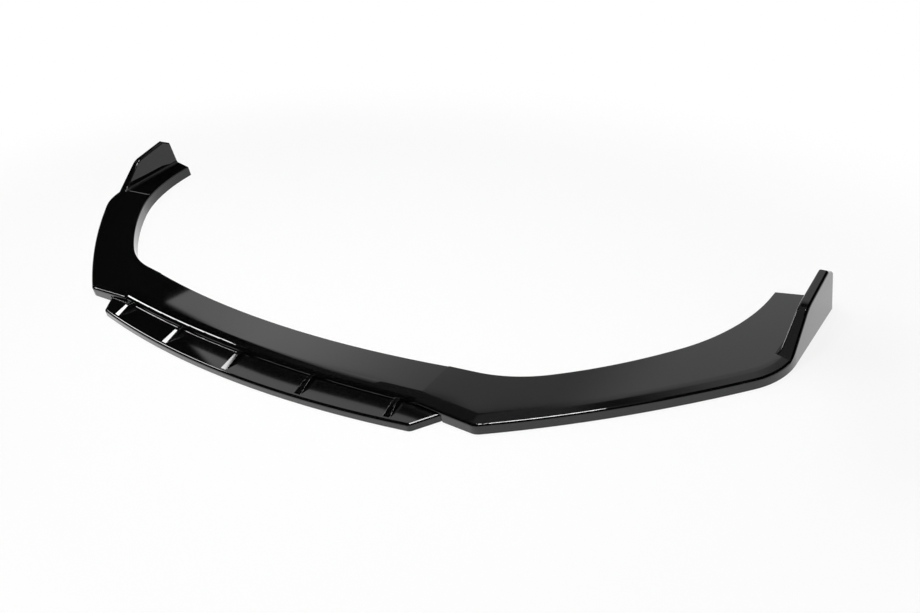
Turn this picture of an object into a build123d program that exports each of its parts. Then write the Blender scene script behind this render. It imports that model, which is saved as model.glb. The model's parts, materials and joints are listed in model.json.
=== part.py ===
from build123d import *
import os
from math import asin, cos, degrees, radians, sin, sqrt

# Front splitter lip for a car, in four gloss mouldings that are screwed together from below:
# a centre section, two wings with upright ends, and a lower blade with moulded fins.
# X runs across the car, Y to the rear and Z up. The bottom rims lie on Z = 0.

os.makedirs("parts", exist_ok=True)

# Mouldings
wall = 3.0                   # wall thickness of every moulding
crown_width = 20.0           # the top falls away along the front and outer edges of the lip
crown_drop = 3.0
crown_blend = 60.0           # radius where the top turns into its crown
roll = 4.5                   # radius of a wing's edge below the crown
nose_roll = 10.0             # radius of the centre section's front edge below the crown
soft_edge = 1.5              # size of the rounding or bevel on the other top edges of the lip
fit_gap = 0.3                # clearance between mouldings that butt or pass each other

# Overall size
half_width = 884.0           # centre line to the side of a wing, at its shoulder
depth = 590.0                # front of the blade to the rear corner of a wing

# Centre section
seam_x = 396.0               # centre line to the seam with a wing
centre_top = 25.0            # height of its flat top
centre_setback = 56.0        # front of the blade to its front face, on the centre line
centre_depth = 88.0          # front to rear on the centre line
front_sag = 24.0             # how far the front face falls back at the seams
rear_sag = 32.0              # how far the rear face falls back at the seams
rear_flange_rise = 3.0       # bottom of the rear flange above the rims
tongue_length = 44.0         # reach of the tongue under each wing
tongue_rise = 0.9            # underside of the tongue above the blade

# Wings, in plan
corner_x = 519.0             # centre line to the front corner
corner_setback = 77.0        # front of the blade to the front corner
corner_radius = 25.0
outer_bow = 15.0             # how far the outer edge bows out between corner and shoulder
shoulder_radius = 110.0
side_length = 206.0          # straight side from the shoulder to the rear corner
toe_in = 6.0                 # how far the rear corner stands inside the shoulder
inner_heading = 7.5          # angle of the inner edge at the seam
inner_straight = 54.0        # straight run of the inner edge from the seam
bend_radius = 260.0          # the inner edge then turns in three tangent arcs
bend_angle = 27.5
flank_radius = 800.0
flank_angle = 15.0
turn_radius = 300.0
turn_angle = 39.0
tail_length = 14.0           # straight run of the inner edge at the rear end

# Height of a wing's top at even stations from the seam to the rear end
inner_heights = (26.0, 25.6, 25.5, 25.5, 25.0, 24.0, 23.0)
outer_heights = (26.0, 21.0, 20.0, 20.0, 20.0, 20.5, 21.5)
roof_margin = 26.0           # how far the top surface is carried past the outline
overrun = 20.0               # how far the outline is carried past the seam before it is trimmed

# Upright end of a wing: lengths are measured forward from the rear corner
upright_height = 86.0
upright_rear_height = 73.0   # height of the rear edge
upright_peak = 20.0          # length back from the peak to the rear edge
knee_length = 106.0          # position and height of the knee in the front edge
knee_height = 72.5
knee_radius = 45.0
foot_length = 195.0          # position and height of the foot of the front edge
foot_height = 5.0
upright_base = 27.4          # thickness at the rims
upright_tip = 16.0           # thickness at the peak
upright_edge = 4.5           # radius of its edges
root_radius = 6.0            # radius where its inner face runs out into the wing's top
root_sink = 0.2              # foot of that radius below the wing's top

# Lower blade
blade_height = 14.0          # height of its flat top
blade_depth = 98.0           # front to rear on the centre line
blade_front_half = 418.0     # centre line to the front corner
blade_front_sag = 37.0       # how far the front falls back at the corners
blade_half = 452.0           # centre line to the end
blade_end_setback = 83.0     # front of the blade to the front of its ends
blade_rear_sag = 22.0        # how far the rear edge falls back at the ends
blade_corner_radius = 12.0
blade_roll = 4.5             # radius of its top front edge

# Fins on the blade
fin_pitch = 186.5
fin_count = 5
fin_height = 8.5             # height above the blade
fin_foot = 15.0              # width at the blade
fin_tip = 9.5                # width at the top
fin_setback = 7.5            # front of the blade to the foot of a fin
fin_cap = 14.0               # length of the flat top, in front of the lip
fin_edge = 0.8               # radius of the fin's edges
fin_core = 2.2               # wall of a fin, which is hollow from below

# Screws: self-tapping, driven from below into moulded bosses
screw_size = 4.0
screw_length = 10.0
screw_slack = 0.1            # hole over screw in a boss
clearance_hole = 4.6         # hole in the piece that is clamped
head_size = 8.0
head_height = 2.8
recess_depth = 1.4
recess_width = 1.1
recess_length = 5.0
washer_size = 11.0
washer_thickness = 1.0
boss_size = 10.0
joint_screw_x = 22.0         # seam to the joint screws
joint_screw_rear = 16.0      # rear of the seam to the rear joint screw
joint_screw_pitch = 26.0
blade_screw_setback = 20.0   # front face of the centre section to the blade screws

# Positions worked out from the sizes
front_y = -depth / 2
rear_y = depth / 2
centre_front = front_y + centre_setback
centre_rear = centre_front + centre_depth
seam_front = centre_front + front_sag
seam_rear = centre_rear + rear_sag
tongue_bottom = blade_height + tongue_rise
tongue_top = tongue_bottom + wall
rear_outer = Vector(half_width - toe_in, rear_y)
shoulder = Vector(half_width, rear_y - side_length)
corner = Vector(corner_x, front_y + corner_setback)
outward = (shoulder - corner).normalized().rotate(Axis.Z, -90)
bow_point = (corner + shoulder) * 0.5 + outward * outer_bow
heading = Vector(cos(radians(inner_heading)), sin(radians(inner_heading)))
inner_start = Vector(seam_x, seam_rear) - heading * (overrun / heading.X)


def arc_y(x, middle_y, sag, half):
    """Y at x of an arc that passes middle_y on the centre line and falls back by sag at half."""
    radius = (half**2 + sag**2) / (2 * sag)
    return middle_y + radius - sqrt(radius**2 - x**2)


# Plan of the centre section, carried past the seams
centre_reach = seam_x + overrun
nose_end = arc_y(centre_reach, centre_front, front_sag, seam_x)
tail_end = arc_y(centre_reach, centre_rear, rear_sag, seam_x)

with BuildSketch() as centre_plan:
    with BuildLine():
        centre_nose = ThreePointArc((-centre_reach, nose_end), (0, centre_front), (centre_reach, nose_end))
        centre_tail = ThreePointArc((-centre_reach, tail_end), (0, centre_rear), (centre_reach, tail_end))
        Line(centre_nose @ 0, centre_tail @ 0)
        Line(centre_nose @ 1, centre_tail @ 1)
    make_face()

# Plan of the right wing, carried past the seam
with BuildLine() as inner_edge:
    run_in = Line(inner_start, Vector(seam_x, seam_rear) + heading * inner_straight)
    bend = JernArc(run_in @ 1, run_in % 1, bend_radius, bend_angle)
    flank = JernArc(bend @ 1, bend % 1, flank_radius, flank_angle)
    turn = JernArc(flank @ 1, flank % 1, turn_radius, turn_angle)
    tail = Line(turn @ 1, (turn @ 1) + (turn % 1) * tail_length)

with BuildLine() as outer_edge:
    front_run = Line((seam_x - overrun, seam_front), corner)
    outer_run = ThreePointArc(corner, bow_point, shoulder)
    side_run = Line(shoulder, rear_outer)

with BuildSketch() as wing_plan:
    with BuildLine():
        add(inner_edge.line)
        add(outer_edge.line)
        Line(tail @ 1, rear_outer)
        Line(run_in @ 0, front_run @ 0)
    make_face()
    fillet(wing_plan.vertices().sort_by_distance(corner)[0], corner_radius)
    fillet(wing_plan.vertices().sort_by_distance(shoulder)[0], shoulder_radius)

with BuildSketch() as wing_hollow_plan:
    add(wing_plan.sketch)
    offset(amount=-wall, mode=Mode.REPLACE)

# Top surface of the right wing: straight rulings from a rail inside the wing to a rail outside it
stations = [index / (len(inner_heights) - 1) for index in range(len(inner_heights))]


def rail(path, heights, side):
    """Spline along a plan path and past its rear end, moved sideways and lifted to the given heights."""
    wire = path.wires()[0]
    points = []
    for station, height in zip(stations, heights):
        across = wire.tangent_at(station).rotate(Axis.Z, side)
        points.append(wire.position_at(station) + across * roof_margin + Vector(0, 0, height))
    return Spline(*points, points[-1] + wire.tangent_at(1) * roof_margin)


inner_rail = rail(inner_edge.line, inner_heights, 90)
outer_rail = rail(outer_edge.line, outer_heights, -90)
roof = Face.make_surface_from_curves(inner_rail, outer_rail)


outer_way = Vector(0.6, -0.8)
inner_way = Vector(-0.6, 0.8)


def shared_edges(first, second):
    """Edges that belong to both of two groups of faces."""
    other = second.edges()
    return [edge for edge in first.edges() if edge in other]


def wing_top(block):
    """Top face of a wing block."""
    return block.faces().filter_by(GeomType.BSPLINE).sort_by(SortBy.AREA)[-1:]


def wing_sides(block, facing):
    """Upright sides of a wing block that look the given way in plan."""
    upright = block.faces().filter_by(lambda face: abs(face.normal_at().Z) < 0.05)
    return upright.filter_by(lambda face: face.normal_at().dot(facing) > 0.3)


def wing_crown(block):
    """Strips that slope from the top of a wing block to its outer sides."""
    top_area = wing_top(block)[0].area
    return block.faces().filter_by(GeomType.BSPLINE).filter_by(
        lambda face: face.area < top_area and face.normal_at().Z > 0.9
    )


with BuildPart() as wing_block:
    extrude(wing_plan.sketch, amount=upright_height)
    extrude(roof, amount=2 * upright_height, dir=(0, 0, 1), mode=Mode.SUBTRACT)
    outer_top = shared_edges(wing_sides(wing_block, outer_way), wing_top(wing_block))
    chamfer(outer_top, crown_width, crown_drop, reference=wing_top(wing_block)[0])
    fillet(shared_edges(wing_crown(wing_block), wing_sides(wing_block, outer_way)), roll)
    fillet(shared_edges(wing_crown(wing_block), wing_top(wing_block)), crown_blend)
    inner_top = shared_edges(wing_sides(wing_block, inner_way), wing_top(wing_block))
    fillet([edge for edge in inner_top if seam_x < edge.center().X < (tail @ 1).X], soft_edge)

with BuildPart() as wing_hollow:
    with BuildSketch(Plane.XY.offset(-wall)):
        add(wing_hollow_plan.sketch)
    extrude(amount=upright_height)
    lowered_roof = roof.moved(Location((0, 0, -wall)))
    extrude(lowered_roof, amount=2 * upright_height, dir=(0, 0, 1), mode=Mode.SUBTRACT)
    outer_top = shared_edges(wing_sides(wing_hollow, outer_way), wing_top(wing_hollow))
    chamfer(outer_top, crown_width - wall, crown_drop, reference=wing_top(wing_hollow)[0])

# Upright end: its side view, cut to its tapering section and to the wing's plan
forward = (shoulder - rear_outer).normalized()
inward = forward.cross(Vector(0, 0, 1))
side_plane = Plane(origin=rear_outer, x_dir=forward, z_dir=inward)
section_plane = Plane(origin=rear_outer, x_dir=inward, z_dir=forward * -1)
below = -2 * wall

rear_slope = (upright_height - upright_rear_height) / upright_peak
root_height = outer_heights[-1] - root_sink
root_start = upright_base - (upright_base - upright_tip) * root_height / upright_height
root_end = root_start + 2 * root_radius

with BuildSketch(side_plane) as upright_side:
    with BuildLine():
        Polyline(
            (-overrun, below),
            (-overrun, upright_rear_height - rear_slope * overrun),
            (upright_peak, upright_height),
            (knee_length, knee_height),
            (foot_length, foot_height),
            (foot_length, below),
            close=True,
        )
    make_face()
    fillet(upright_side.vertices().sort_by_distance((knee_length, knee_height, 0))[0], knee_radius)

with BuildSketch(section_plane) as upright_section:
    with BuildLine():
        Polyline(
            (0, below),
            (root_end, below),
            (root_end, root_height),
            (root_start, root_height),
            (upright_tip, upright_height),
            (0, upright_height),
            close=True,
        )
    make_face()
    fillet(upright_section.vertices().sort_by_distance((root_start, root_height, 0))[0], root_radius)

with BuildSketch(side_plane) as upright_hollow_side:
    add(upright_side.sketch_local)
    offset(amount=-wall, kind=Kind.INTERSECTION, mode=Mode.REPLACE)

with BuildSketch(section_plane) as upright_hollow_section:
    add(upright_section.sketch_local)
    offset(amount=-wall, kind=Kind.INTERSECTION, mode=Mode.REPLACE)

with BuildPart() as upright_block:
    extrude(upright_side.sketch, amount=root_end)
    extrude(upright_section.sketch, amount=foot_length, both=True, mode=Mode.INTERSECT)
    crest = upright_block.faces().filter_by(lambda face: face.normal_at().Z > 0.3)
    flanks = upright_block.faces().filter_by(lambda face: abs(face.normal_at().dot(inward)) > 0.6)
    flank_edges = flanks.edges()
    fillet([edge for edge in crest.edges() if edge in flank_edges], upright_edge)
    extrude(wing_plan.sketch, amount=upright_height, mode=Mode.INTERSECT)

with BuildPart() as upright_hollow:
    extrude(upright_hollow_side.sketch, amount=root_end)
    extrude(upright_hollow_section.sketch, amount=foot_length, both=True, mode=Mode.INTERSECT)
    with BuildSketch(Plane.XY.offset(-wall)):
        add(wing_hollow_plan.sketch)
    extrude(amount=upright_height, mode=Mode.INTERSECT)

# Right wing, trimmed at the seam and notched where the end of the blade passes under it
joint_screws_xy = [
    (seam_x + joint_screw_x, seam_rear - joint_screw_rear),
    (seam_x + joint_screw_x, seam_rear - joint_screw_rear - joint_screw_pitch),
]
notch_end = blade_half + fit_gap
notch_rear = corner.Y + corner_radius

with BuildPart() as right_wing:
    add(wing_block.part)
    add(upright_block.part)
    add(wing_hollow.part, mode=Mode.SUBTRACT)
    add(upright_hollow.part, mode=Mode.SUBTRACT)
    with BuildSketch(Plane.XY.offset(tongue_top)):
        with Locations(*joint_screws_xy):
            Circle(boss_size / 2)
    extrude(amount=inner_heights[0] - wall / 2 - tongue_top)
    with BuildSketch(Plane.XY.offset(tongue_top)):
        with Locations(*joint_screws_xy):
            Circle((screw_size + screw_slack) / 2)
    extrude(amount=screw_length - wall - washer_thickness / 2, mode=Mode.SUBTRACT)
    with BuildSketch():
        with Locations((seam_x - 2 * overrun, front_y)):
            Rectangle(notch_end - seam_x + 2 * overrun, notch_rear - front_y, align=(Align.MIN, Align.MIN))
    extrude(amount=blade_height + fit_gap, mode=Mode.SUBTRACT)
    split(bisect_by=Plane.YZ.offset(seam_x + fit_gap), keep=Keep.TOP)

with BuildPart() as left_wing:
    mirror(right_wing.part, about=Plane.YZ)

# Centre section, with a tongue under each wing and bosses for the blade's screws
screw_bays = [(index + 0.5) * fin_pitch for index in range((fin_count - 1) // 2)]
blade_screws_xy = [
    (side * x, arc_y(x, centre_front, front_sag, seam_x) + blade_screw_setback)
    for x in screw_bays
    for side in (-1, 1)
]
joint_places = [(side * x, y) for x, y in joint_screws_xy for side in (-1, 1)]
passage_rear = centre_rear - 2 * wall
tongue_front = seam_front + wall + fit_gap
tongue_rear = seam_rear - wall - fit_gap


def centre_arcs(block):
    """Curved edges of the flat top of a centre block, from front to rear."""
    return block.faces().sort_by(Axis.Z)[-1].edges().filter_by(GeomType.CIRCLE).sort_by(Axis.Y)


def crown_nose(block, radius):
    """Slopes the front of a centre block's top and rounds the edge below the slope."""
    chamfer(centre_arcs(block)[0], crown_width, crown_drop, reference=block.faces().sort_by(Axis.Z)[-1])
    low = block.faces().filter_by(GeomType.CONE).edges().filter_by(GeomType.CIRCLE).sort_by(Axis.Y)[0]
    fillet(low, radius)


with BuildPart() as centre_hollow:
    with BuildSketch():
        add(centre_plan.sketch)
        offset(amount=-wall, mode=Mode.REPLACE)
    extrude(amount=centre_top - wall)
    crown_nose(centre_hollow, nose_roll - wall)
    split(bisect_by=Plane.YZ.offset(seam_x - wall), keep=Keep.BOTTOM)
    split(bisect_by=Plane.YZ.offset(wall - seam_x), keep=Keep.TOP)

with BuildPart() as centre_section:
    with BuildSketch(Plane.XY.offset(rear_flange_rise)):
        add(centre_plan.sketch)
    extrude(amount=centre_top - rear_flange_rise)
    crown_nose(centre_section, nose_roll)
    fillet(centre_arcs(centre_section)[0], crown_blend)
    chamfer(centre_arcs(centre_section)[-1], soft_edge)
    split(bisect_by=Plane.YZ.offset(seam_x), keep=Keep.BOTTOM)
    split(bisect_by=Plane.YZ.offset(-seam_x), keep=Keep.TOP)
    add(centre_hollow.part, mode=Mode.SUBTRACT)
    with BuildSketch():
        with Locations((0, front_y)):
            Rectangle(2 * centre_reach, passage_rear - front_y, align=(Align.CENTER, Align.MIN))
    extrude(amount=blade_height, mode=Mode.SUBTRACT)
    with BuildSketch(Plane.XY.offset(tongue_bottom)):
        for side in (-1, 1):
            with Locations((side * (seam_x - wall), tongue_front)):
                Rectangle(
                    wall + tongue_length,
                    tongue_rear - tongue_front,
                    align=(Align.MIN if side > 0 else Align.MAX, Align.MIN),
                )
    extrude(amount=wall)
    with BuildSketch(Plane.XY.offset(tongue_bottom)):
        with Locations(*joint_places):
            Circle(clearance_hole / 2)
    extrude(amount=wall, mode=Mode.SUBTRACT)
    with BuildSketch(Plane.XY.offset(blade_height)):
        with Locations(*blade_screws_xy):
            Circle(boss_size / 2)
    extrude(amount=centre_top - wall / 2 - blade_height)
    with BuildSketch(Plane.XY.offset(blade_height)):
        with Locations(*blade_screws_xy):
            Circle((screw_size + screw_slack) / 2)
    extrude(amount=screw_length - wall - washer_thickness / 2, mode=Mode.SUBTRACT)

# Lower blade: a shallow tray, open below, with hollow fins on its top
corner_y = front_y + blade_front_sag
end_front = front_y + blade_end_setback
end_rear = front_y + blade_depth + blade_rear_sag
long_rear = end_rear + overrun

with BuildSketch() as blade_long_plan:
    with BuildLine():
        blade_nose = ThreePointArc(
            (-blade_front_half, corner_y),
            (0, front_y),
            (blade_front_half, corner_y),
        )
        Polyline(
            blade_nose @ 1,
            (blade_half, end_front),
            (blade_half, long_rear),
            (-blade_half, long_rear),
            (-blade_half, end_front),
            blade_nose @ 0,
        )
    make_face()
    fillet(blade_long_plan.vertices().group_by(Axis.Y)[0], blade_corner_radius)

with BuildSketch() as blade_rear:
    with BuildLine():
        blade_tail = ThreePointArc(
            (-blade_half, end_rear),
            (0, front_y + blade_depth),
            (blade_half, end_rear),
        )
        Polyline(
            blade_tail @ 1,
            (blade_half + overrun, end_rear),
            (blade_half + overrun, long_rear + overrun),
            (-blade_half - overrun, long_rear + overrun),
            (-blade_half - overrun, end_rear),
            blade_tail @ 0,
        )
    make_face()

with BuildSketch() as blade_plan:
    add(blade_long_plan.sketch)
    add(blade_rear.sketch, mode=Mode.SUBTRACT)

fin_places = [(index - (fin_count - 1) / 2) * fin_pitch for index in range(fin_count)]


def fin_plane(x, height):
    """Level plane at the given height over the blade's front edge at x, turned square to that edge."""
    radius = (blade_front_half**2 + blade_front_sag**2) / (2 * blade_front_sag)
    place = Plane((x, arc_y(x, front_y, blade_front_sag, blade_front_half), height))
    return place.rotated((0, 0, degrees(asin(x / radius))))


def fin_reach(x):
    """Length from the blade's front edge to the face of the centre section at x."""
    return arc_y(x, centre_front, front_sag, seam_x) - arc_y(x, front_y, blade_front_sag, blade_front_half)


def fin_frustum(x):
    """Solid of one fin at x: a wedge with a sloping front, leaning sides and a flat top."""
    cap = fin_reach(x) - fin_cap
    rear = fin_reach(x) + fin_foot
    with BuildPart() as frustum:
        with BuildSketch(fin_plane(x, blade_height)):
            with Locations((0, fin_setback)):
                Rectangle(fin_foot, rear - fin_setback, align=(Align.CENTER, Align.MIN))
        with BuildSketch(fin_plane(x, blade_height + fin_height)):
            with Locations((0, cap)):
                Rectangle(fin_tip, rear - cap, align=(Align.CENTER, Align.MIN))
        loft()
        cap_z = blade_height + fin_height
        upper = frustum.edges().filter_by_position(Axis.Z, blade_height + fin_edge, cap_z)
        fillet(upper, fin_edge)
    return frustum.part


def fin_core_block(x):
    """Hollow below one fin: its sides, front and top stand inside the fin by the wall of the fin."""
    cap = fin_reach(x) - fin_cap
    rear = fin_reach(x) - 2 * fin_core
    low = fin_setback + (cap - fin_setback) / fin_height * fin_core
    with BuildPart() as core:
        with BuildSketch(fin_plane(x, blade_height - wall)):
            with Locations((0, low)):
                Rectangle(fin_foot - 2 * fin_core, rear - low, align=(Align.CENTER, Align.MIN))
        with BuildSketch(fin_plane(x, blade_height + fin_height - fin_core)):
            with Locations((0, cap + fin_core)):
                Rectangle(fin_tip - 2 * fin_core, rear - cap - fin_core, align=(Align.CENTER, Align.MIN))
        loft()
    return core.part


with BuildPart() as lower_blade:
    extrude(blade_long_plan.sketch, amount=blade_height)
    top = lower_blade.faces().sort_by(Axis.Z)[-1]
    fillet(top.edges().sort_by(Axis.Y)[:-1], blade_roll)
    extrude(blade_rear.sketch, amount=blade_height, mode=Mode.SUBTRACT)
    for x in fin_places:
        add(fin_frustum(x))
    with BuildSketch(Plane.XY.offset(blade_height)):
        add(centre_plan.sketch)
        offset(amount=fit_gap, kind=Kind.INTERSECTION, mode=Mode.REPLACE)
    extrude(amount=fin_height + wall, mode=Mode.SUBTRACT)
    with BuildSketch(Plane.XY.offset(blade_height - wall)):
        add(blade_plan.sketch)
        offset(amount=-wall, mode=Mode.REPLACE)
    extrude(amount=-blade_height, mode=Mode.SUBTRACT)
    for x in fin_places:
        add(fin_core_block(x), mode=Mode.SUBTRACT)
    with BuildSketch(Plane.XY.offset(blade_height - wall)):
        with Locations(*blade_screws_xy):
            Circle(clearance_hole / 2)
    extrude(amount=wall, mode=Mode.SUBTRACT)


def screw_set(places, seat):
    """Pan-head screws at the given places, pointing up, with the washer's top face on seat."""
    head_top = seat - washer_thickness
    with BuildPart() as screws:
        with BuildSketch(Plane.XY.offset(head_top - head_height)):
            with Locations(*places):
                Circle(head_size / 2)
        extrude(amount=head_height)
        fillet(screws.edges().group_by(Axis.Z)[0], head_height / 2)
        with BuildSketch(Plane.XY.offset(head_top - head_height)):
            with Locations(*places):
                Rectangle(recess_length, recess_width)
                Rectangle(recess_width, recess_length)
        extrude(amount=recess_depth, mode=Mode.SUBTRACT)
        with BuildSketch(Plane.XY.offset(head_top)):
            with Locations(*places):
                Circle(screw_size / 2)
        extrude(amount=screw_length)
        chamfer(screws.edges().group_by(Axis.Z)[-1], screw_size / 4)
    return screws.part


def washer_set(places, seat):
    """Plain washers at the given places, with their top faces on seat."""
    with BuildPart() as washers:
        with BuildSketch(Plane.XY.offset(seat)):
            with Locations(*places):
                Circle(washer_size / 2)
                Circle(clearance_hole / 2, mode=Mode.SUBTRACT)
        extrude(amount=-washer_thickness)
    return washers.part


with BuildPart() as joint_screws:
    add(screw_set(joint_places, tongue_bottom))
with BuildPart() as joint_washers:
    add(washer_set(joint_places, tongue_bottom))
with BuildPart() as blade_screws:
    add(screw_set(blade_screws_xy, blade_height - wall))
with BuildPart() as blade_washers:
    add(washer_set(blade_screws_xy, blade_height - wall))

centre_section.part.label = "centre_section"
export_step(centre_section.part, "parts/centre_section.step")
left_wing.part.label = "left_wing"
export_step(left_wing.part, "parts/left_wing.step")
right_wing.part.label = "right_wing"
export_step(right_wing.part, "parts/right_wing.step")
lower_blade.part.label = "lower_blade"
export_step(lower_blade.part, "parts/lower_blade.step")
joint_screws.part.label = "joint_screws"
export_step(joint_screws.part, "parts/joint_screws.step")
joint_washers.part.label = "joint_washers"
export_step(joint_washers.part, "parts/joint_washers.step")
blade_screws.part.label = "blade_screws"
export_step(blade_screws.part, "parts/blade_screws.step")
blade_washers.part.label = "blade_washers"
export_step(blade_washers.part, "parts/blade_washers.step")
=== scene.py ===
import json

import bpy
import numpy as np
from bpy.props import FloatProperty, FloatVectorProperty, PointerProperty
from mathutils import Matrix

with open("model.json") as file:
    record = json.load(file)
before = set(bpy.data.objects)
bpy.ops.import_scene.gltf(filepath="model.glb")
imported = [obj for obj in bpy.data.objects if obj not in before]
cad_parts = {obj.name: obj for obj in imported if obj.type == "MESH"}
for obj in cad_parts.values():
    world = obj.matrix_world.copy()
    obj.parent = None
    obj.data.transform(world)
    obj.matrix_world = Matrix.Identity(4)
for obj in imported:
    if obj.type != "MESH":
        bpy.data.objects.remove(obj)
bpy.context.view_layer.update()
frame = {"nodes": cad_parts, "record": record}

bl_info = {
    "name": "Front splitter lip",
    "version": (1, 0, 0),
    "blender": (4, 5, 0),
    "location": "3D View > Sidebar > Splitter lip",
    "description": "Dresses the mouldings and fixings of a front splitter lip and sets a studio around it",
    "category": "Object",
}

MOULDINGS = ("centre_section", "left_wing", "right_wing", "lower_blade")
FIXINGS = ("joint_screws", "joint_washers", "blade_screws", "blade_washers")

# Camera that was solved from the photograph: its right, up and forward axes, its place and how far
# it sees, in metres, and its sensor, in millimetres
CAMERA_RIGHT = (0.780704, 0.597899, -0.181708)
CAMERA_UP = (-0.214666, 0.529682, 0.820582)
CAMERA_FORWARD = (-0.586873, 0.601625, -0.541874)
CAMERA_PLACE = (1.35781, -1.04944, 0.99765)
CAMERA_REACH = 200.0
SENSOR_WIDTH = 36.0

# Patterns of the lacquer: scale is the number of lumps per metre
FLOW = {"scale": 7.0, "detail": 3.0, "roughness": 0.55, "stretch": (1.0, 1.6, 1.0)}
HAZE = {"scale": 28.0, "detail": 4.0, "roughness": 0.6}
RIPPLE = {"scale": 300.0, "detail": 1.5}
GRAIN = {"scale": 900.0, "detail": 2.0}
DUST = {"scale": 1400.0, "detail": 1.0}
HAZE_RANGE = (0.35, 0.75)
DUST_RANGE = (0.70, 0.80)
# Upward part of the normal over which the lacquer gives way to the bare underside
BARE_RANGE = (-0.2, -0.6)
# Shares of these patterns in the colour and the roughness
FLOW_TINT = 0.15
DUST_TINT = 0.06
DUST_COLOUR = (0.10, 0.10, 0.10)
HAZE_ROUGHNESS = 0.02
DUST_ROUGHNESS = 0.10
GRAIN_ROUGHNESS = 0.12
LACQUER_IOR = 1.50
BASE_SPECULAR = 0.10

# Patterns of the zinc
CLOUD = {"scale": 240.0, "detail": 3.0}
CLOUD_RANGE = (0.3, 0.7)
CLOUD_ROUGHNESS = 0.12
CRYSTAL_SCALE = 1600.0
CRYSTAL_ROUGHNESS = 0.06
CRYSTAL_DEPTH = 0.00002
DULL_SHARE = 0.72

WHITE = (1.0, 1.0, 1.0)
FLAG_BLACK = (0.004, 0.004, 0.004)
MATT_ROUGHNESS = 0.9
# Half lengths of the oval in which the floor shows the shadow, and the share of them where it fades
FLOOR_OVAL = (1.35, 0.75, 1.0)
FLOOR_FADE = (0.75, 1.35)
# Height of the look direction over which the white horizon turns into the dark studio
HORIZON = (0.03, 0.08)

# Points along each side of a sheet, and places of the sheets and of the strip lamp, in metres
SHEET_POINTS = 9
SOFTBOX_X = (-2.95, 1.0)
SOFTBOX_Y = (0.30, 3.0)
BANK_X = (-0.6, 1.1)
BANK_Y = (-0.9, 0.9)
BANK_HEIGHT = 2.2
FLAG_X = (0.76, 0.94)
FLAG_Y = (0.0, 0.12)
FLAG_HEIGHT = 0.5
STRIP_MIDDLE = (-3.2, 0.08, 2.2675)
STRIP_ACROSS = (0.0, -0.43, 0.0)
STRIP_ALONG = (0.205, 0.0, 0.4675)

# Main part of the softbox cloth: a line is a point and a normal, a fade is where it begins and
# ends, and a longer ramp also has its values there
LEFT_LINE = ((-2.786, 1.153), (0.968, -0.249))
LEFT_FADE = (0.0, 0.03)
FRONT_LINE = ((-2.733, 1.113), (0.119, 0.993))
FRONT_BENDS = (
    (-2.1, -1.0, 0.025, -0.10),
    (-0.98, -0.72, 0.0, 0.36),
    (-0.6, -0.3, 0.0, 0.12),
    (0.05, 0.25, 0.0, -0.16),
)
FRONT_SOFTNESS = ((-2.3, -1.2, 0.03, 0.10), (-1.0, -0.4, 0.0, 0.5))
RIGHT_FADE = (0.95, 0.50)
LEVEL_LEFT = (-2.7, -1.9, 0.72, 1.0)
LEVEL_FALL = (-1.85, -0.75, 0.97, 0.43)
LEVEL_RIGHT = (-0.42, -0.05, 0.0, 0.39)
# Shade before the line where the right wing's top begins to round over
CREASE_START = -0.63
CREASE_SLOPE = 0.55
CREASE_PLACE = (-0.60, -0.84, 0.92, 0.99)
SHADE_FADE = (-0.01, 0.045)
SHADE_LEVEL = (-0.35, 0.15, 0.5, 0.9)
# Faint rim of the cloth that the rounded edges of the tops show
RIM_LEVELS = (
    (-1.9, -1.2, 0.0, 0.05),
    (-0.95, -0.85, 0.0, 0.02),
    (-0.46, -0.28, 0.0, 0.15),
    (0.10, 0.24, 0.0, -0.16),
)
RIM_FADE = (0.90, 0.86)
# Band of the cloth that the blade shows: its rear edge, how far it fades to the front, and its ends
BAND_REAR = ((-1.85, -0.9, 0.916, 0.985), (-1.95, -2.35, 0.0, 0.011))
BAND_REAR_FADE = (0.0, 0.006)
BAND_REACH = ((-2.05, -1.4, 0.19, 0.43), (-1.45, -1.3, 0.0, 0.10))
BAND_FULL = 0.03
BAND_TIP = ((-2.42, 0.93), (0.292, 0.957))
BAND_TIP_FADE = (0.0, 0.03)
BAND_RIGHT_FADE = (-0.93, -0.97)
BAND_LEVEL = 0.78

# Two directions on the overhead cloth, and the edges of its inner and outer part
BANK_ALONG = (0.78, 0.62)
BANK_ACROSS = (0.62, -0.78)
INNER_X = (0.12, 0.10)
INNER_ALONG = (-0.15, -0.12)
INNER_ACROSS = (-0.58, -0.54)
OUTER_X = (0.30, 0.34)
OUTER_Y = (-0.66, -0.62)
OUTER_ALONG = (-0.07, -0.05)
OUTER_ACROSS = (0.43, 0.47)
END_ALONG = (0.57, 0.52)
END_ACROSS = (0.95, 0.93)
SPILL_X = (0.12, 0.16)


def slot_colour(slot):
    """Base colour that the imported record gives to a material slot."""
    for material in frame["record"]["materials"]:
        if material["slot"] == slot:
            return tuple(material["base_color"])
    raise KeyError(f"the record has no material slot {slot}")


class Link:
    """An output socket in Python expressions: each operator adds one Math node."""

    def __init__(self, finish, socket):
        self.finish = finish
        self.socket = socket

    def math(self, operation, first, second):
        """Math node of the given operation on two values or links."""
        node = self.finish.node("ShaderNodeMath", {"operation": operation}, {0: first, 1: second})
        return self.finish.out(node, 0)

    def __add__(self, other):
        return self.math("ADD", self, other)

    def __radd__(self, other):
        return self.math("ADD", other, self)

    def __sub__(self, other):
        return self.math("SUBTRACT", self, other)

    def __rsub__(self, other):
        return self.math("SUBTRACT", other, self)

    def __mul__(self, other):
        return self.math("MULTIPLY", self, other)

    def __rmul__(self, other):
        return self.math("MULTIPLY", other, self)

    def __truediv__(self, other):
        return self.math("DIVIDE", self, other)

    def __rtruediv__(self, other):
        return self.math("DIVIDE", other, self)

    def highest(self, other):
        """The larger of this value and another."""
        return self.math("MAXIMUM", self, other)


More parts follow.
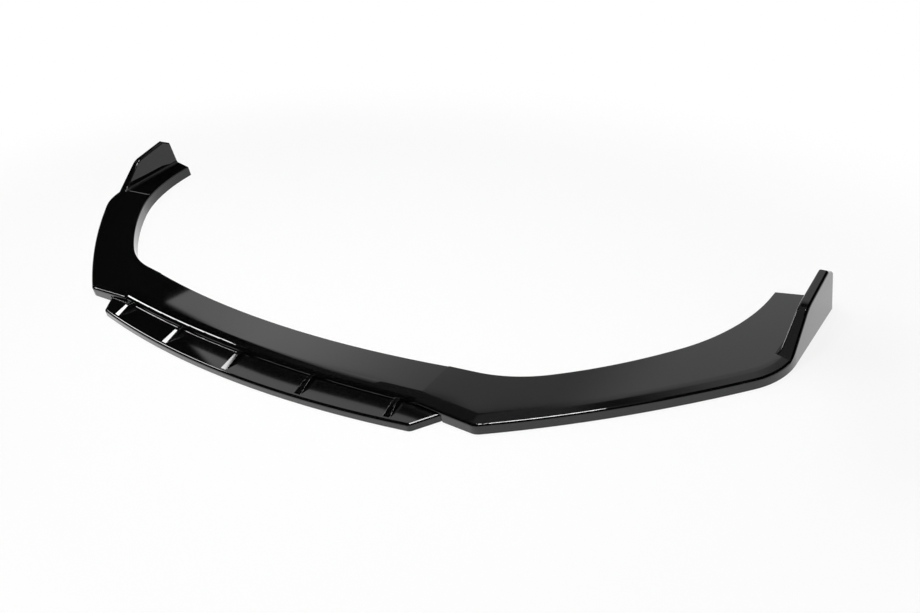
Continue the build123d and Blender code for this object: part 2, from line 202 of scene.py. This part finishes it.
class Finish:
    """Node tree of one material or of the world, empty at first."""

    def __init__(self, owner):
        owner.use_nodes = True
        self.tree = owner.node_tree
        self.tree.nodes.clear()

    def node(self, kind, settings=None, sockets=None):
        """One node of the given type: its settings first, then its sockets' values or links."""
        node = self.tree.nodes.new(kind)
        for name, value in (settings or {}).items():
            setattr(node, name, value)
        for name, value in (sockets or {}).items():
            if isinstance(value, Link):
                self.tree.links.new(value.socket, node.inputs[name])
            else:
                node.inputs[name].default_value = value
        return node

    def out(self, node, name):
        """An output of a node, for use in expressions and as a link."""
        return Link(self, node.outputs[name])

    def place(self):
        """Position on the piece, in metres."""
        return self.out(self.node("ShaderNodeTexCoord"), "Object")

    def stretched(self, stretch):
        """Position on the piece, drawn out along each axis."""
        mapping = self.node(
            "ShaderNodeMapping",
            {"vector_type": "TEXTURE"},
            {"Vector": self.place(), "Scale": stretch},
        )
        return self.out(mapping, "Vector")

    def axes(self, vector):
        """The x, y and z parts of a vector."""
        split = self.node("ShaderNodeSeparateXYZ", None, {0: vector})
        return tuple(self.out(split, axis) for axis in "XYZ")

    def noise(self, scale, detail=2.0, roughness=0.5, stretch=(1.0, 1.0, 1.0)):
        """Noise from 0 to 1 with the given lumps per metre, drawn out along each axis by a stretch."""
        noise = self.node(
            "ShaderNodeTexNoise",
            {"noise_dimensions": "3D"},
            {
                "Vector": self.stretched(stretch),
                "Scale": scale,
                "Detail": detail,
                "Roughness": roughness,
            },
        )
        return self.out(noise, "Fac")

    def ramp(self, value, low, high, to_low=0.0, to_high=1.0):
        """A value carried smoothly from low to high into another range, and held beyond it."""
        node = self.node(
            "ShaderNodeMapRange",
            {"interpolation_type": "SMOOTHSTEP", "clamp": True},
            {
                "Value": value,
                "From Min": low,
                "From Max": high,
                "To Min": to_low,
                "To Max": to_high,
            },
        )
        return self.out(node, "Result")

    def ramps(self, value, steps):
        """Sum of several ramps of one value."""
        total = self.ramp(value, *steps[0])
        for step in steps[1:]:
            total = total + self.ramp(value, *step)
        return total

    def tint(self, factor, first, second):
        """Colour between two colours, each a tuple or a link."""
        ends = [side if isinstance(side, Link) else (*side, 1.0) for side in (first, second)]
        sockets = {0: factor, 6: ends[0], 7: ends[1]}
        return self.out(self.node("ShaderNodeMix", {"data_type": "RGBA"}, sockets), 2)

    def bump(self, height, distance):
        """Surface normal of a height from 0 to 1 over a relief of the given depth in metres."""
        sockets = {"Height": height, "Distance": distance, "Strength": 1.0}
        return self.out(self.node("ShaderNodeBump", None, sockets), "Normal")

    def glow(self, strength):
        """White light of the given strength."""
        sockets = {"Color": (*WHITE, 1.0), "Strength": strength}
        return self.node("ShaderNodeEmission", None, sockets)

    def matt(self, colour):
        """Matt face without gloss."""
        sockets = {
            "Base Color": (*colour, 1.0),
            "Roughness": MATT_ROUGHNESS,
            "Specular IOR Level": 0.0,
        }
        return self.node("ShaderNodeBsdfPrincipled", None, sockets)

    def surface(self, shader, kind="ShaderNodeOutputMaterial"):
        """Ends the tree in its output node."""
        self.node(kind, None, {"Surface": self.out(shader, 0)})


class LacquerSettings(bpy.types.PropertyGroup):
    """Finish of the four gloss mouldings."""

    colour: FloatVectorProperty(
        name="Colour", description="Colour of the moulded black",
        subtype="COLOR", size=3, min=0.0, max=1.0, default=slot_colour("gloss_black"),
    )
    depth: FloatProperty(
        name="Depth of black",
        description="Share of the moulded colour that shows through the black lacquer",
        default=0.16, min=0.0, max=1.0,
    )
    gloss: FloatProperty(
        name="Base roughness", description="Roughness of the moulded face below the lacquer",
        default=0.04, min=0.0, max=1.0,
    )
    lacquer: FloatProperty(
        name="Lacquer roughness", description="Roughness of the clear lacquer",
        default=0.03, min=0.0, max=1.0,
    )
    peel: FloatProperty(
        name="Peel depth", description="Depth of the fine ripple of a sprayed face",
        default=0.0000005, min=0.0, max=0.001, precision=7, unit="LENGTH",
    )
    underside: FloatProperty(
        name="Underside roughness", description="Roughness of the bare moulded underside",
        default=0.42, min=0.0, max=1.0,
    )


class ZincSettings(bpy.types.PropertyGroup):
    """Finish of the screws and washers."""

    colour: FloatVectorProperty(
        name="Colour", description="Colour of the zinc plating",
        subtype="COLOR", size=3, min=0.0, max=1.0, default=slot_colour("zinc"),
    )
    roughness: FloatProperty(
        name="Roughness", description="Mean roughness of the plating",
        default=0.34, min=0.0, max=1.0,
    )


class StudioSettings(bpy.types.PropertyGroup):
    """Floor, lamps and camera."""

    floor_size: FloatProperty(
        name="Floor", description="Side of the square floor",
        default=60.0, min=1.0, unit="LENGTH",
    )
    floor_colour: FloatVectorProperty(
        name="Floor colour", description="Colour of the floor",
        subtype="COLOR", size=3, min=0.0, max=1.0, default=(0.88, 0.88, 0.88),
    )
    floor_white: FloatProperty(
        name="Floor white",
        description="Share of plain white in what the camera and reflections see near the lip",
        default=0.88, min=0.0, max=1.0,
    )
    softbox: FloatProperty(
        name="Softbox", description="Brightness of the softbox behind the lip",
        default=1.0, min=0.0,
    )
    softbox_height: FloatProperty(
        name="Softbox height", description="Height of the softbox",
        default=1.5, min=0.1, unit="LENGTH",
    )
    strip: FloatProperty(
        name="Strip lamp", description="Brightness of the lamp on the left",
        default=10.0, min=0.0,
    )
    bank: FloatProperty(
        name="Overhead bank", description="Brightness of the lamp above the lip",
        default=27.0, min=0.0,
    )
    spill: FloatProperty(
        name="Spill", description="Brightness of the cloth beside the lamp above the lip",
        default=0.25, min=0.0,
    )
    ceiling: FloatProperty(
        name="Ceiling", description="Brightness of the dark studio above the horizon",
        default=0.004, min=0.0,
    )
    lens: FloatProperty(
        name="Lens", description="Focal length in millimetres on a 36 mm sensor",
        default=38.90, min=1.0,
    )


class SplitterSettings(bpy.types.PropertyGroup):
    """All that a user would change on the lip and in its studio."""

    lacquer: PointerProperty(type=LacquerSettings)
    zinc: PointerProperty(type=ZincSettings)
    studio: PointerProperty(type=StudioSettings)


def black_lacquer(settings):
    """Gloss-black moulding under clear lacquer, with ripple, dust and a bare matt underside."""
    material = bpy.data.materials.new("black_lacquer")
    finish = Finish(material)
    normal = finish.out(finish.node("ShaderNodeNewGeometry"), "Normal")
    bare = finish.ramp(finish.axes(normal)[2], *BARE_RANGE)
    flow = finish.noise(**FLOW)
    grain = finish.noise(**GRAIN)
    dust = finish.ramp(finish.noise(**DUST), *DUST_RANGE)
    haze = finish.ramp(finish.noise(**HAZE), *HAZE_RANGE)

    moulded = tuple(settings.colour)
    deep = tuple(settings.depth * channel for channel in moulded)
    clean = finish.tint((flow * FLOW_TINT).highest(bare), deep, moulded)
    rougher = settings.underside - settings.gloss + grain * GRAIN_ROUGHNESS
    roughness = settings.gloss + haze * HAZE_ROUGHNESS + dust * DUST_ROUGHNESS + bare * rougher
    relief = finish.noise(**RIPPLE) * (1 - bare) + grain * bare
    shader = finish.node(
        "ShaderNodeBsdfPrincipled",
        None,
        {
            "Base Color": finish.tint(dust * DUST_TINT, clean, DUST_COLOUR),
            "Roughness": roughness,
            "IOR": LACQUER_IOR,
            "Specular IOR Level": BASE_SPECULAR,
            "Coat Weight": 1 - bare,
            "Coat Roughness": settings.lacquer,
            "Coat IOR": LACQUER_IOR,
            "Normal": finish.bump(relief, settings.peel),
        },
    )
    finish.surface(shader)
    return material


def bright_zinc(settings):
    """Zinc plating: a metal with fine crystals, slightly uneven in colour and gloss."""
    material = bpy.data.materials.new("bright_zinc")
    finish = Finish(material)
    crystals = finish.node(
        "ShaderNodeTexVoronoi",
        {"feature": "F1"},
        {"Vector": finish.place(), "Scale": CRYSTAL_SCALE},
    )
    crystal = finish.out(crystals, "Distance")
    cloud = finish.noise(**CLOUD)
    pale = tuple(settings.colour)
    dull = tuple(DULL_SHARE * channel for channel in pale)
    smoothest = settings.roughness - CLOUD_ROUGHNESS / 2
    shader = finish.node(
        "ShaderNodeBsdfPrincipled",
        None,
        {
            "Base Color": finish.tint(finish.ramp(cloud, *CLOUD_RANGE), dull, pale),
            "Metallic": 1.0,
            "Roughness": smoothest + cloud * CLOUD_ROUGHNESS + crystal * CRYSTAL_ROUGHNESS,
            "Normal": finish.bump(crystal, CRYSTAL_DEPTH),
        },
    )
    finish.surface(shader)
    return material


def white_floor(settings):
    """Pale floor that keeps the lip's shadow.

    The camera and reflections see a share of plain white near the lip, and all white far off.
    """
    material = bpy.data.materials.new("white_floor")
    finish = Finish(material)
    rays = finish.node("ShaderNodeLightPath")
    seen = finish.out(rays, "Is Camera Ray")
    seen = seen.highest(finish.out(rays, "Is Glossy Ray"))
    seen = seen.highest(finish.out(rays, "Is Transmission Ray"))
    away = finish.node(
        "ShaderNodeVectorMath",
        {"operation": "LENGTH"},
        {0: finish.stretched(FLOOR_OVAL)},
    )
    white = finish.ramp(finish.out(away, "Value"), *FLOOR_FADE, settings.floor_white, 1.0)
    lit = finish.matt(settings.floor_colour)
    plain = finish.glow(1.0)
    sockets = {0: seen * white, 1: finish.out(lit, 0), 2: finish.out(plain, 0)}
    finish.surface(finish.node("ShaderNodeMixShader", None, sockets))
    return material


def past(line, x, y):
    """Distance past a line, from its point and along its normal."""
    (point_x, point_y), (normal_x, normal_y) = line
    return (x - point_x) * normal_x + (y - point_y) * normal_y


def toward(direction, x, y):
    """Distance along a direction."""
    return x * direction[0] + y * direction[1]


def softbox_cloth(settings):
    """Glowing cloth in three parts, each a product of smooth ramps across its edges.

    The main part, which the tops show, has a crisp left end, a bent front edge that grows softer to
    the right, and a faded right end. A faint rim before it shows in the rounded edges of the tops.
    A band before its left half shows in the blade.
    """
    material = bpy.data.materials.new("softbox_cloth")
    finish = Finish(material)
    x, y, _ = finish.axes(finish.place())

    left = finish.ramp(past(LEFT_LINE, x, y), *LEFT_FADE)
    from_front = past(FRONT_LINE, x, y) + finish.ramps(x, FRONT_BENDS)
    front = finish.ramp(from_front / finish.ramps(x, FRONT_SOFTNESS), 0.0, 1.0)
    level = finish.ramp(x, *LEVEL_LEFT) * finish.ramp(x, *LEVEL_FALL)
    level = level + finish.ramp(x, *LEVEL_RIGHT)
    crease = (x - CREASE_START).highest(0.0) * CREASE_SLOPE + finish.ramp(x, *CREASE_PLACE)
    shade = finish.ramp(y - crease, *SHADE_FADE, finish.ramp(x, *SHADE_LEVEL), 1.0)
    main_part = left * front * level * shade * finish.ramp(x, *RIGHT_FADE)

    rim = finish.ramps(x, RIM_LEVELS) * finish.ramp(y, *RIM_FADE)

    before = finish.ramps(x, BAND_REAR) - y
    reach = finish.ramps(x, BAND_REACH)
    band = finish.ramp(before, *BAND_REAR_FADE) * finish.ramp(before, reach, BAND_FULL)
    band = band * finish.ramp(past(BAND_TIP, x, y), *BAND_TIP_FADE)
    band = band * finish.ramp(x, *BAND_RIGHT_FADE)

    strength = (main_part.highest(rim) + band * BAND_LEVEL) * settings.softbox
    finish.surface(finish.glow(strength))
    return material


def overhead_cloth(settings):
    """Glowing cloth in two parts, with a faint spill around the right one that an upright shows."""
    material = bpy.data.materials.new("overhead_cloth")
    finish = Finish(material)
    x, y, _ = finish.axes(finish.place())
    along = toward(BANK_ALONG, x, y)
    across = toward(BANK_ACROSS, x, y)
    inner = finish.ramp(x, *INNER_X)
    inner = inner * finish.ramp(along, *INNER_ALONG) * finish.ramp(across, *INNER_ACROSS)
    outer = finish.ramp(x, *OUTER_X) * finish.ramp(y, *OUTER_Y)
    outer = outer * finish.ramp(along, *OUTER_ALONG) * finish.ramp(across, *OUTER_ACROSS)
    ends = finish.ramp(along, *END_ALONG) * finish.ramp(across, *END_ACROSS)
    spill = finish.ramp(x, *SPILL_X) * settings.spill
    finish.surface(finish.glow((inner + outer) * ends * settings.bank + spill))
    return material


def flag_cloth():
    """Black cloth of a flag."""
    material = bpy.data.materials.new("flag_cloth")
    finish = Finish(material)
    finish.surface(finish.matt(FLAG_BLACK))
    return material


def dark_studio(settings):
    """World that is white at the horizon, like a sweep of paper, and dark above it."""
    world = bpy.data.worlds.new("dark_studio")
    finish = Finish(world)
    direction = finish.out(finish.node("ShaderNodeTexCoord"), "Generated")
    strength = finish.ramp(finish.axes(direction)[2], *HORIZON, 1.0, settings.ceiling)
    sockets = {"Color": (*WHITE, 1.0), "Strength": strength}
    finish.surface(finish.node("ShaderNodeBackground", None, sockets), "ShaderNodeOutputWorld")
    return world


def link(thing):
    """Puts a new object into the scene."""
    bpy.context.scene.collection.objects.link(thing)
    return thing


def aim(thing, right, up, back, middle):
    """Places a lamp or a camera by its three axes and its middle."""
    columns = np.eye(4)
    columns[:3, :4] = np.stack([right, up, back, middle], axis=1)
    thing.matrix_world = Matrix(columns.tolist())


def dress(names, material):
    """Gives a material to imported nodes, whose shape stays as it is."""
    for name in names:
        slots = frame["nodes"][name].data.materials
        slots.clear()
        slots.append(material)


def level_sheet(name, x_range, y_range, height, material, in_view=False):
    """Level grid: points are all pairs of even steps along x and along y, at one height."""
    x_steps = np.linspace(*x_range, SHEET_POINTS)
    y_steps = np.linspace(*y_range, SHEET_POINTS)
    x, y = np.meshgrid(x_steps, y_steps, indexing="ij")
    points = np.stack([x, y, np.full_like(x, height)], axis=-1).reshape(-1, 3)
    index = np.arange(len(points)).reshape(x.shape)
    corners = [index[:-1, :-1], index[1:, :-1], index[1:, 1:], index[:-1, 1:]]
    faces = np.stack(corners, axis=-1).reshape(-1, 4)
    mesh = bpy.data.meshes.new(name)
    mesh.from_pydata(points.tolist(), [], faces.tolist())
    sheet = link(bpy.data.objects.new(name, mesh))
    mesh.materials.append(material)
    sheet.visible_camera = in_view
    return sheet


def panel_lamp(name, middle, across, along, brightness):
    """Rectangular lamp: its middle, the vectors from there to two of its sides, and its radiance.

    It shines away from the cross product of across and along. Power is radiance times pi times
    area.
    """
    across = np.array(across)
    along = np.array(along)
    width = 2 * np.linalg.norm(across)
    length = 2 * np.linalg.norm(along)
    right = across / np.linalg.norm(across)
    up = along - right * np.dot(along, right)
    up = up / np.linalg.norm(up)
    lamp = bpy.data.lights.new(name, "AREA")
    lamp.shape = "RECTANGLE"
    lamp.size = float(width)
    lamp.size_y = float(length)
    lamp.energy = float(brightness * np.pi * width * length)
    thing = link(bpy.data.objects.new(name, lamp))
    aim(thing, right, up, np.cross(right, up), middle)
    thing.visible_camera = False
    return thing


class SPLITTER_OT_mouldings(bpy.types.Operator):
    """Lacquer the centre section, both wings and the lower blade"""

    bl_idname = "splitter.mouldings"
    bl_label = "Lacquer the mouldings"

    def execute(self, context):
        dress(MOULDINGS, black_lacquer(context.scene.splitter.lacquer))
        return {"FINISHED"}


class SPLITTER_OT_fixings(bpy.types.Operator):
    """Plate the screws and washers below the lip"""

    bl_idname = "splitter.fixings"
    bl_label = "Plate the fixings"

    def execute(self, context):
        dress(FIXINGS, bright_zinc(context.scene.splitter.zinc))
        return {"FINISHED"}


class SPLITTER_OT_studio(bpy.types.Operator):
    """Set the floor, the lamps, the world and the camera"""

    bl_idname = "splitter.studio"
    bl_label = "Set the studio"

    def execute(self, context):
        studio = context.scene.splitter.studio
        half = studio.floor_size / 2
        side = (-half, half)
        level_sheet("studio_floor", side, side, 0.0, white_floor(studio), in_view=True)
        cloth = softbox_cloth(studio)
        level_sheet("rear_softbox", SOFTBOX_X, SOFTBOX_Y, studio.softbox_height, cloth)
        panel_lamp("left_strip", STRIP_MIDDLE, STRIP_ACROSS, STRIP_ALONG, studio.strip)
        level_sheet("overhead_bank", BANK_X, BANK_Y, BANK_HEIGHT, overhead_cloth(studio))
        level_sheet("upright_flag", FLAG_X, FLAG_Y, FLAG_HEIGHT, flag_cloth())
        context.scene.world = dark_studio(studio)

        camera = bpy.data.cameras.new("front_right_camera")
        camera.sensor_fit = "HORIZONTAL"
        camera.sensor_width = SENSOR_WIDTH
        camera.lens = studio.lens
        camera.clip_end = CAMERA_REACH
        view = link(bpy.data.objects.new("front_right_camera", camera))
        aim(view, CAMERA_RIGHT, CAMERA_UP, -np.array(CAMERA_FORWARD), CAMERA_PLACE)
        context.scene.camera = view
        context.scene.view_settings.view_transform = "Standard"
        return {"FINISHED"}


class SPLITTER_PT_panel(bpy.types.Panel):
    """Sidebar panel of the splitter lip"""

    bl_idname = "SPLITTER_PT_panel"
    bl_label = "Splitter lip"
    bl_space_type = "VIEW_3D"
    bl_region_type = "UI"
    bl_category = "Splitter lip"

    def draw(self, context):
        settings = context.scene.splitter
        groups = (
            (settings.lacquer, SPLITTER_OT_mouldings),
            (settings.zinc, SPLITTER_OT_fixings),
            (settings.studio, SPLITTER_OT_studio),
        )
        for group, operator in groups:
            box = self.layout.box()
            for name in group.__annotations__:
                box.prop(group, name)
            box.operator(operator.bl_idname)


CLASSES = (
    LacquerSettings,
    ZincSettings,
    StudioSettings,
    SplitterSettings,
    SPLITTER_OT_mouldings,
    SPLITTER_OT_fixings,
    SPLITTER_OT_studio,
    SPLITTER_PT_panel,
)


def register():
    """Registers the classes and puts the settings on the scene."""
    for cls in CLASSES:
        bpy.utils.register_class(cls)
    bpy.types.Scene.splitter = PointerProperty(type=SplitterSettings)


def unregister():
    """Takes the settings and the classes away again."""
    del bpy.types.Scene.splitter
    for cls in reversed(CLASSES):
        bpy.utils.unregister_class(cls)


def main():
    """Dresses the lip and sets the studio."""
    register()
    bpy.ops.splitter.mouldings()
    bpy.ops.splitter.fixings()
    bpy.ops.splitter.studio()


if __name__ == "__main__":
    main()
